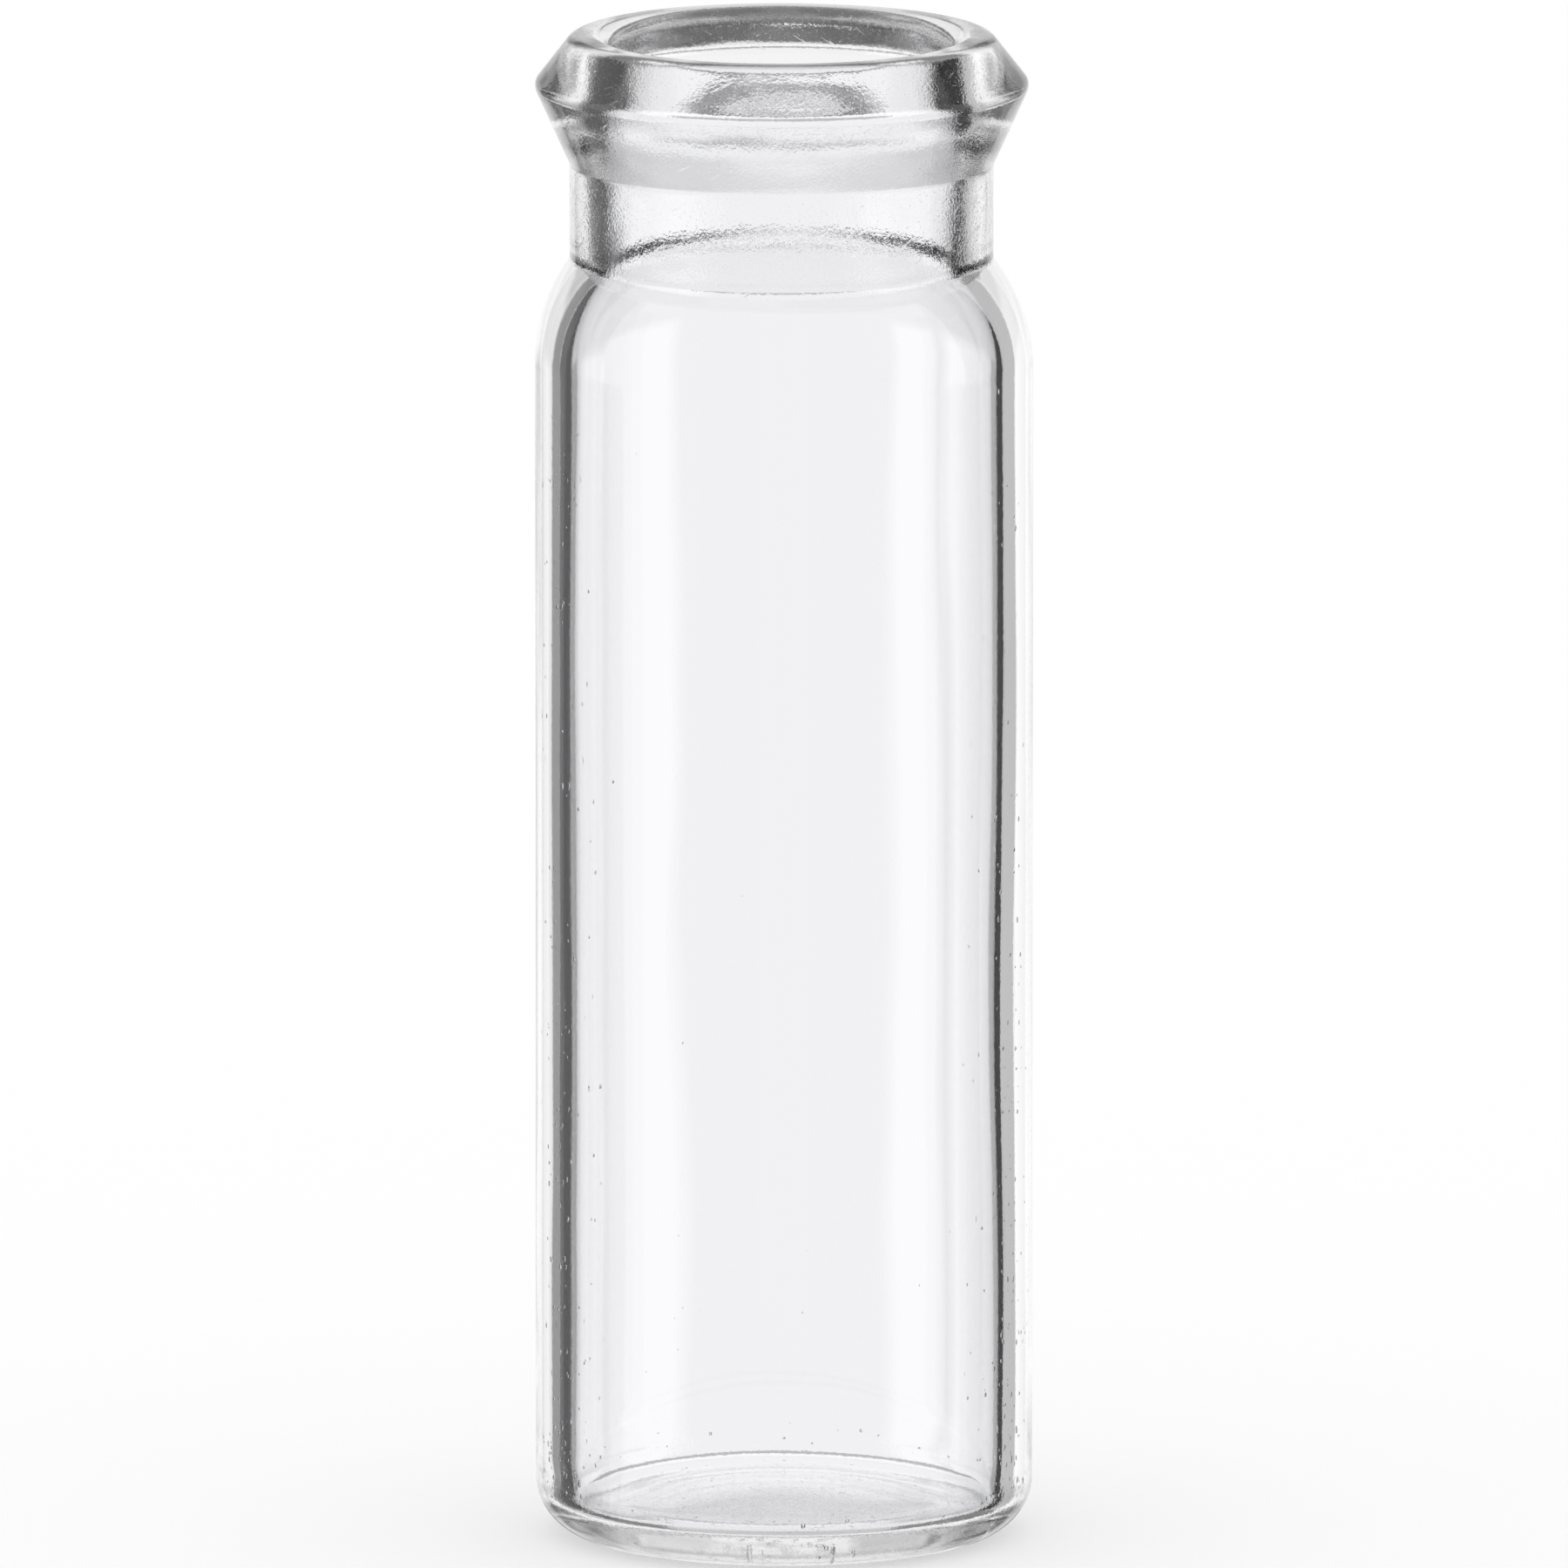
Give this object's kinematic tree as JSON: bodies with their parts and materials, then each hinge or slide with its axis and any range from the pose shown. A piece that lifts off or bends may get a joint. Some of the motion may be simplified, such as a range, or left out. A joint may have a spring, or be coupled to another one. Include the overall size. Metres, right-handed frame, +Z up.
{
  "type": "glass sample vial",
  "caption": "Clear tubular glass sample vial with a rounded shoulder, a short neck and a ridged flange for a clip-on cap.",
  "frame": {"origin": "centre of the circle that the vial stands on, in the plane of its standing ring", "axes": "+Z up along the vial's axis, from the bottom to the mouth; the vial is round, so X and Y are free"},
  "size_m": [0.0148, 0.0148, 0.045],
  "materials": {
    "glass": "clear, fire-polished, with small seeds and fine draw lines"
  },
  "bodies": {
    "root": {"vial": "glass"}
  },
  "joints": []
}
